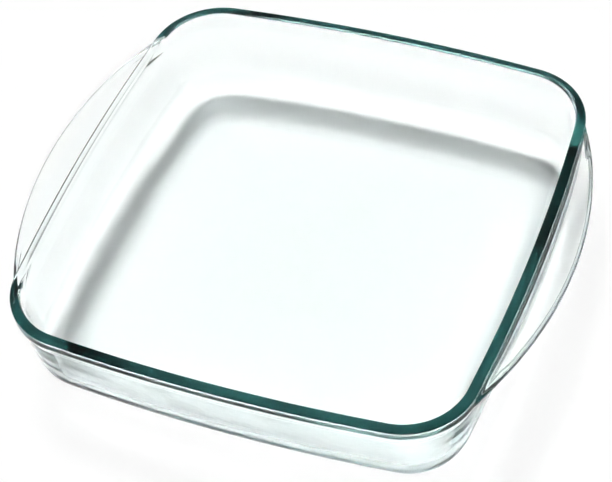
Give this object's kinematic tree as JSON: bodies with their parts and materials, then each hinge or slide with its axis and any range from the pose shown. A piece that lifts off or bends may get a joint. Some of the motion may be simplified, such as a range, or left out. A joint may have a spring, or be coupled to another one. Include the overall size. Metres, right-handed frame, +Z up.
{
  "type": "baking dish",
  "caption": "Square clear glass oven dish with leaning walls, a beaded rim and a flat crescent handle on two opposite sides.",
  "frame": {"origin": "centre of the underside, on the plane that the dish stands on", "axes": "+X from the dish's centre through the handle called right, +Y towards the back wall, +Z up"},
  "size_m": [0.2432, 0.214, 0.0485],
  "materials": {
    "glass": "clear pressed glass, fire polished, with a blue-green tint that shows along its edges"
  },
  "bodies": {
    "root": {"floor": "glass", "wall_right": "glass", "wall_back": "glass", "wall_left": "glass", "wall_front": "glass", "rim": "glass", "handle_right": "glass", "handle_left": "glass"}
  },
  "joints": []
}
